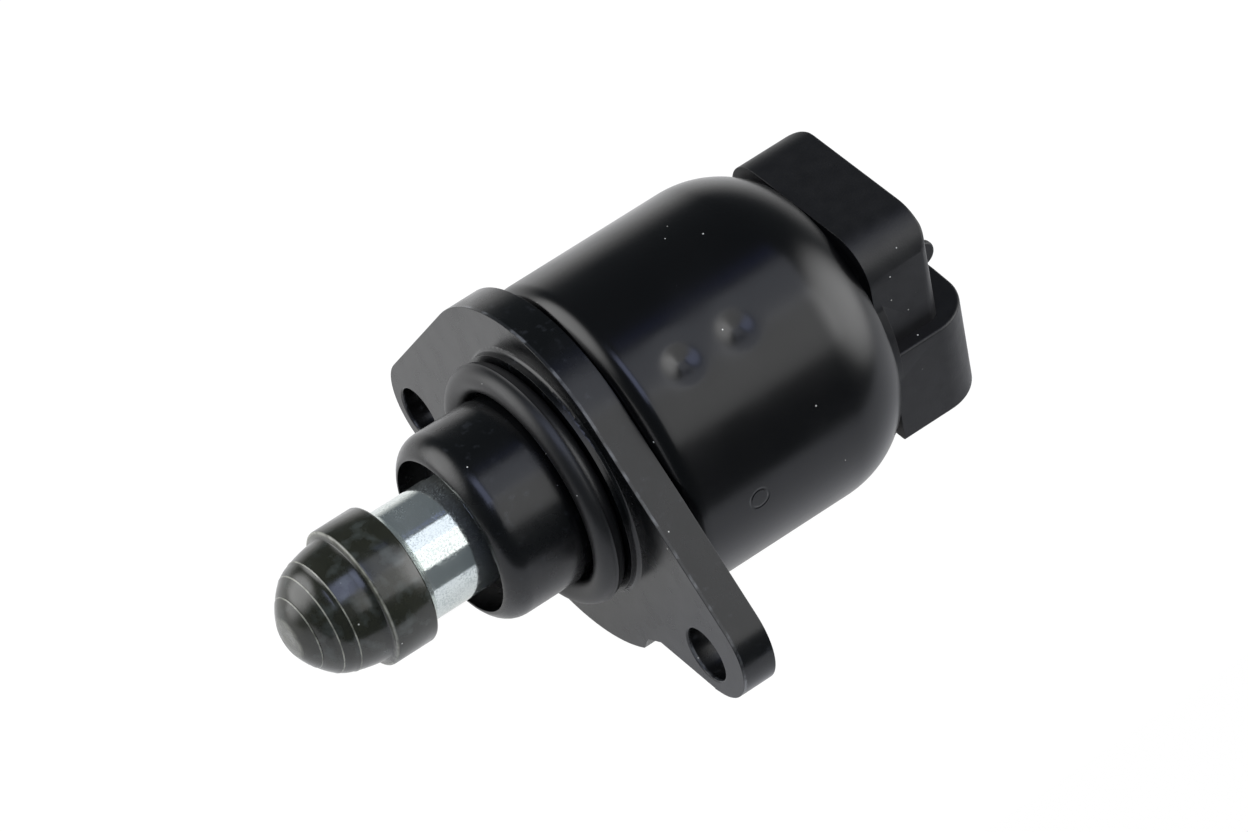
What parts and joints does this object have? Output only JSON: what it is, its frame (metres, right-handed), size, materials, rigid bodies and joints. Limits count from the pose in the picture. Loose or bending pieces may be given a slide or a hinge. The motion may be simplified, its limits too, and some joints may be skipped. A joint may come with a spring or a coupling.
{
  "type": "idle air control valve",
  "caption": "Stepper motor idle air control valve with a two-eared flange, a stepped pintle plug and a rear plug socket.",
  "frame": {"origin": "on the valve axis, in the plane of the flange's front face", "axes": "-X along the valve axis towards the pintle's tip, +X towards the connector, +Z away from the socket's mouth, the two screw holes level along Y"},
  "size_m": [0.0777, 0.06, 0.0388],
  "materials": {
    "black_moulding": "semi-gloss",
    "black_rubber": "satin",
    "black_coated_steel": "semi-gloss",
    "bronze": "satin",
    "bearing_steel": "ground",
    "pole_steel": "plain",
    "bobbin_plastic": "matte",
    "copper_wire": "enamelled",
    "tinned_brass": "satin",
    "black_connector": "matte",
    "nut_plastic": "matte",
    "ring_ferrite": "matte",
    "plug_plastic": "satin",
    "zinc_plate": "bright"
  },
  "bodies": {
    "housing": {"flange_nose": "black_moulding", "o_ring": "black_rubber", "can": "black_coated_steel", "guide_bush": "bronze", "wiper_seal": "black_rubber", "preload_washer": "bearing_steel", "bearing_outer_ring": "bearing_steel", "rear_bush": "bronze", "front_pole_cup": "pole_steel", "front_pole_plate": "pole_steel", "rear_pole_plate": "pole_steel", "rear_pole_cup": "pole_steel", "front_bobbin": "bobbin_plastic", "rear_bobbin": "bobbin_plastic", "front_winding": "copper_wire", "rear_winding": "copper_wire", "terminals": "tinned_brass", "rear_seal": "black_rubber", "connector": "black_connector"},
    "rotor": {"rotor_nut": "nut_plastic", "rotor_magnet": "ring_ferrite", "bearing_inner_ring": "bearing_steel"},
    "bearing_cage": {"ball_cage": "bronze", "bearing_balls": "bearing_steel"},
    "pintle": {"pintle_head": "plug_plastic", "pintle_tube": "zinc_plate", "lead_screw": "bearing_steel"}
  },
  "joints": [
    {"name": "rotor_spin", "type": "hinge", "parent": "housing", "child": "rotor", "pos_m": [0.018, 0, 0], "axis": [1, 0, 0], "range_deg": [-720, 2160]},
    {"name": "cage_spin", "type": "hinge", "parent": "housing", "child": "bearing_cage", "pos_m": [0.0072, 0, 0], "axis": [1, 0, 0], "range_deg": [-290, 866]},
    {"name": "pintle_slide", "type": "slide", "parent": "housing", "child": "pintle", "axis": [1, 0, 0], "range_m": [-0.00201, 0.00602]}
  ],
  "couplings": [
    {"joint": "pintle_slide", "follows": "rotor_spin", "m_per_rad": 0.00015915},
    {"joint": "cage_spin", "follows": "rotor_spin", "ratio": 0.4}
  ]
}
